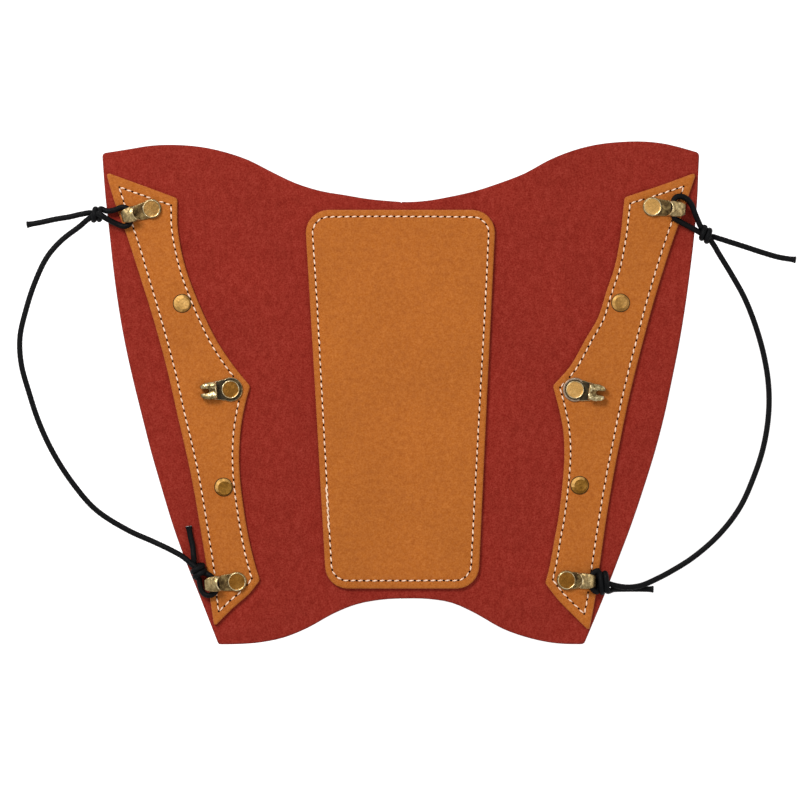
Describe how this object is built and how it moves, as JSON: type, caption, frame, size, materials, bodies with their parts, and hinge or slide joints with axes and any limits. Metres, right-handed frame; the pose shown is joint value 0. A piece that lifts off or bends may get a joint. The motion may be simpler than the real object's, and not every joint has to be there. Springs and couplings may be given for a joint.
{
  "type": "archery arm guard",
  "caption": "Butterfly-shaped suede arm guard laid flat, with a stitched leather centre patch, side facings, brass lacing and locking hooks and tied elastic cords.",
  "frame": {"origin": "under the middle of the leather's outline, on the surface that the guard lies on, measured without the free cords", "axes": "+Z out of the outer leather face, +Y towards the elbow end, +X to the right seen from above"},
  "size_m": [0.3112, 0.2007, 0.0092],
  "materials": {
    "red_suede": "suede, fine short nap",
    "tan_leather": "nubuck, matt with darker rounded edges",
    "sewing_thread": "twisted bonded thread",
    "antique_brass": "aged, darkened in the recesses",
    "elastic_cord": "fine braided cover"
  },
  "bodies": {
    "centre": {"panel_centre": "red_suede", "centre_patch": "tan_leather", "patch_stitching": "sewing_thread"},
    "left_wing": {"left_wing_panel": "red_suede", "left_facing": "tan_leather", "left_facing_stitching": "sewing_thread", "left_top_hook": "antique_brass", "left_lock_hook": "antique_brass", "left_bottom_hook": "antique_brass", "left_top_hook_rivet": "antique_brass", "left_lock_hook_rivet": "antique_brass", "left_bottom_hook_rivet": "antique_brass", "left_upper_rivet": "antique_brass", "left_lower_rivet": "antique_brass", "left_rivet_backs": "antique_brass", "left_cord": "elastic_cord", "left_top_knot": "elastic_cord", "left_bottom_knot": "elastic_cord"},
    "right_wing": {"right_wing_panel": "red_suede", "right_facing": "tan_leather", "right_facing_stitching": "sewing_thread", "right_top_hook": "antique_brass", "right_lock_hook": "antique_brass", "right_bottom_hook": "antique_brass", "right_top_hook_rivet": "antique_brass", "right_lock_hook_rivet": "antique_brass", "right_bottom_hook_rivet": "antique_brass", "right_upper_rivet": "antique_brass", "right_lower_rivet": "antique_brass", "right_rivet_backs": "antique_brass", "right_cord": "elastic_cord", "right_top_knot": "elastic_cord", "right_bottom_knot": "elastic_cord"}
  },
  "joints": [
    {"name": "left_fold", "type": "hinge", "parent": "centre", "child": "left_wing", "pos_m": [-0.0477, 0, 0], "axis": [0.0579, -0.9983, 0], "range_deg": [0, 80]},
    {"name": "right_fold", "type": "hinge", "parent": "centre", "child": "right_wing", "pos_m": [0.0477, 0, 0], "axis": [0.0469, 0.9989, 0], "range_deg": [0, 80]}
  ]
}
